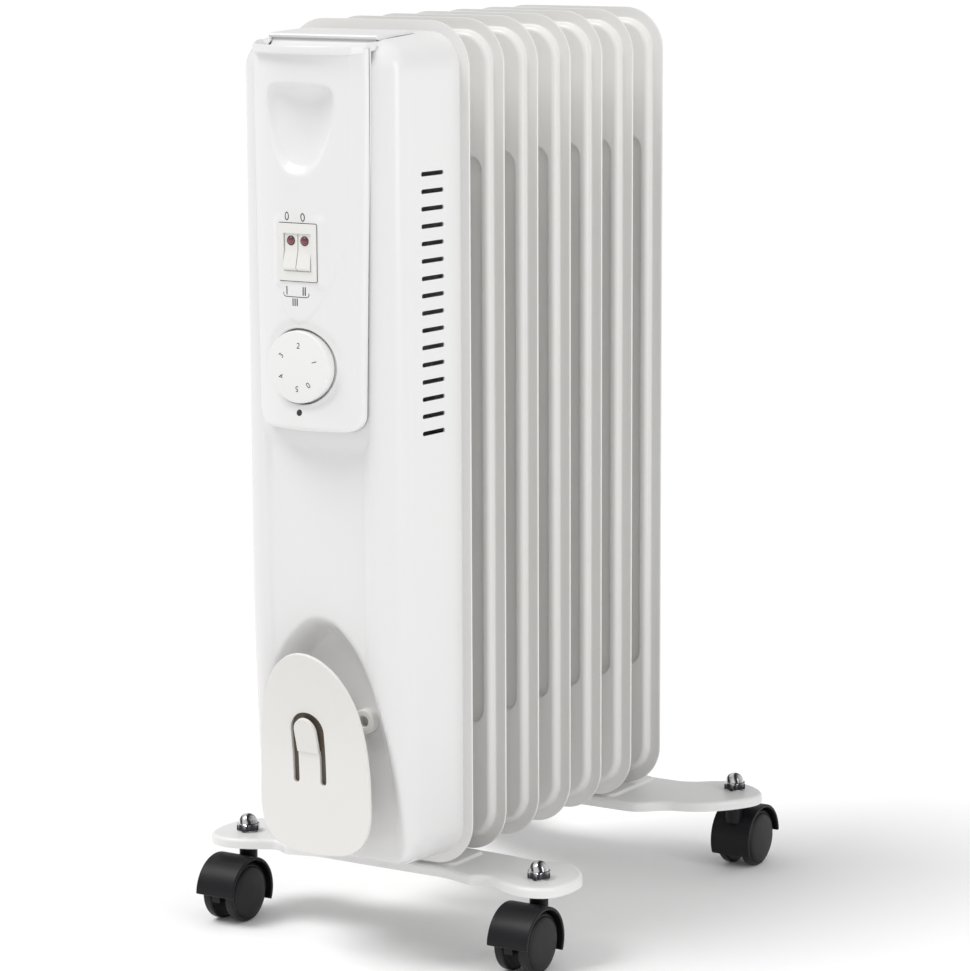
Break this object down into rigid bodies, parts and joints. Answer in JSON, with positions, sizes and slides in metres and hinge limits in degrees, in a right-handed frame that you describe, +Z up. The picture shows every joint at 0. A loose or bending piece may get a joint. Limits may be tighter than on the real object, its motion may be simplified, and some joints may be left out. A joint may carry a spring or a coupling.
{
  "type": "oil filled radiator heater",
  "caption": "Upright oil filled radiator heater with a finned body, a front control box with switches and a dial, a cord wrap plate and swivel casters.",
  "frame": {"origin": "on the floor under the middle of the whole heater's box", "axes": "+Z up; the control panel faces -Y and the fins stand one behind another along +Y; +X is to the right seen from the front"},
  "size_m": [0.294, 0.436, 0.643],
  "materials": {
    "fin_enamel": "white baked enamel, satin",
    "cover_enamel": "white baked enamel, satin",
    "bracket_enamel": "white baked enamel, satin",
    "panel_plastic": "white moulded plastic, fine satin",
    "knob_white": "white moulded plastic, satin",
    "switch_white": "white moulded plastic, semi gloss",
    "wrap_plastic": "off-white moulded plastic, satin",
    "red_lens": "clear red lens, gloss",
    "dark_plastic": "black moulded plastic",
    "lead_sleeve": "woven heat resistant sleeve",
    "gasket": "black rubber",
    "brass": "machined",
    "element_steel": "bright steel",
    "zinc": "zinc plated",
    "chrome": "bright chrome plate",
    "caster_black": "black moulded plastic, satin",
    "wheel_black": "black moulded plastic, satin"
  },
  "bodies": {
    "radiator": {"fin_1": "fin_enamel", "fin_2": "fin_enamel", "fin_3": "fin_enamel", "fin_4": "fin_enamel", "fin_5": "fin_enamel", "fin_6": "fin_enamel", "fin_7": "fin_enamel", "oil_fill_plug": "brass", "heating_element": "element_steel", "element_gasket": "gasket", "control_cover": "cover_enamel", "control_panel": "panel_plastic", "top_cap": "panel_plastic", "switch_housing": "switch_white", "switch_pin": "element_steel", "thermostat_body": "dark_plastic", "terminal_block": "dark_plastic", "thermal_cutout": "dark_plastic", "supply_lead": "lead_sleeve", "switch_lead": "lead_sleeve", "thermostat_lead": "lead_sleeve", "element_lead": "lead_sleeve", "cord_wrap_plate": "wrap_plastic", "wrap_posts": "wrap_plastic", "wrap_screws": "element_steel", "cord_gland": "wrap_plastic", "front_bracket": "bracket_enamel", "rear_bracket": "bracket_enamel", "u_bolts": "zinc", "wing_nuts": "zinc", "cap_nuts": "chrome", "front_left_stem": "chrome", "front_right_stem": "chrome", "rear_left_stem": "chrome", "rear_right_stem": "chrome"},
    "thermostat_knob": {"knob": "knob_white", "thermostat_shaft": "element_steel"},
    "left_switch": {"rocker_left": "switch_white", "rocker_left_neon": "red_lens"},
    "right_switch": {"rocker_right": "switch_white", "rocker_right_neon": "red_lens"},
    "front_left_caster": {"front_left_hood": "caster_black", "front_left_axle": "zinc"},
    "front_left_left_wheel": {"front_left_wheel_left": "wheel_black"},
    "front_left_right_wheel": {"front_left_wheel_right": "wheel_black"},
    "front_right_caster": {"front_right_hood": "caster_black", "front_right_axle": "zinc"},
    "front_right_left_wheel": {"front_right_wheel_left": "wheel_black"},
    "front_right_right_wheel": {"front_right_wheel_right": "wheel_black"},
    "rear_left_caster": {"rear_left_hood": "caster_black", "rear_left_axle": "zinc"},
    "rear_left_left_wheel": {"rear_left_wheel_left": "wheel_black"},
    "rear_left_right_wheel": {"rear_left_wheel_right": "wheel_black"},
    "rear_right_caster": {"rear_right_hood": "caster_black", "rear_right_axle": "zinc"},
    "rear_right_left_wheel": {"rear_right_wheel_left": "wheel_black"},
    "rear_right_right_wheel": {"rear_right_wheel_right": "wheel_black"}
  },
  "joints": [
    {"name": "knob_turn", "type": "hinge", "parent": "radiator", "child": "thermostat_knob", "pos_m": [0, -0.2165, 0.418], "axis": [0, -1, 0], "range_deg": [0, 320]},
    {"name": "left_switch_rock", "type": "hinge", "parent": "radiator", "child": "left_switch", "pos_m": [0, -0.206, 0.494], "axis": [1, 0, 0], "range_deg": [0, 16]},
    {"name": "right_switch_rock", "type": "hinge", "parent": "radiator", "child": "right_switch", "pos_m": [0, -0.206, 0.494], "axis": [1, 0, 0], "range_deg": [0, 16]},
    {"name": "front_left_swivel", "type": "hinge", "parent": "radiator", "child": "front_left_caster", "pos_m": [-0.122, -0.1095, 0.043], "axis": [0, 0, 1], "continuous": true},
    {"name": "front_left_left_roll", "type": "hinge", "parent": "front_left_caster", "child": "front_left_left_wheel", "pos_m": [-0.122, -0.127, 0.0213], "axis": [1, 0, 0], "continuous": true},
    {"name": "front_left_right_roll", "type": "hinge", "parent": "front_left_caster", "child": "front_left_right_wheel", "pos_m": [-0.122, -0.127, 0.0213], "axis": [1, 0, 0], "continuous": true},
    {"name": "front_right_swivel", "type": "hinge", "parent": "radiator", "child": "front_right_caster", "pos_m": [0.122, -0.1095, 0.043], "axis": [0, 0, 1], "continuous": true},
    {"name": "front_right_left_roll", "type": "hinge", "parent": "front_right_caster", "child": "front_right_left_wheel", "pos_m": [0.122, -0.127, 0.0213], "axis": [1, 0, 0], "continuous": true},
    {"name": "front_right_right_roll", "type": "hinge", "parent": "front_right_caster", "child": "front_right_right_wheel", "pos_m": [0.122, -0.127, 0.0213], "axis": [1, 0, 0], "continuous": true},
    {"name": "rear_left_swivel", "type": "hinge", "parent": "radiator", "child": "rear_left_caster", "pos_m": [-0.122, 0.175, 0.043], "axis": [0, 0, 1], "continuous": true},
    {"name": "rear_left_left_roll", "type": "hinge", "parent": "rear_left_caster", "child": "rear_left_left_wheel", "pos_m": [-0.122, 0.1925, 0.0213], "axis": [1, 0, 0], "continuous": true},
    {"name": "rear_left_right_roll", "type": "hinge", "parent": "rear_left_caster", "child": "rear_left_right_wheel", "pos_m": [-0.122, 0.1925, 0.0213], "axis": [1, 0, 0], "continuous": true},
    {"name": "rear_right_swivel", "type": "hinge", "parent": "radiator", "child": "rear_right_caster", "pos_m": [0.122, 0.175, 0.043], "axis": [0, 0, 1], "continuous": true},
    {"name": "rear_right_left_roll", "type": "hinge", "parent": "rear_right_caster", "child": "rear_right_left_wheel", "pos_m": [0.122, 0.1925, 0.0213], "axis": [1, 0, 0], "continuous": true},
    {"name": "rear_right_right_roll", "type": "hinge", "parent": "rear_right_caster", "child": "rear_right_right_wheel", "pos_m": [0.122, 0.1925, 0.0213], "axis": [1, 0, 0], "continuous": true}
  ]
}
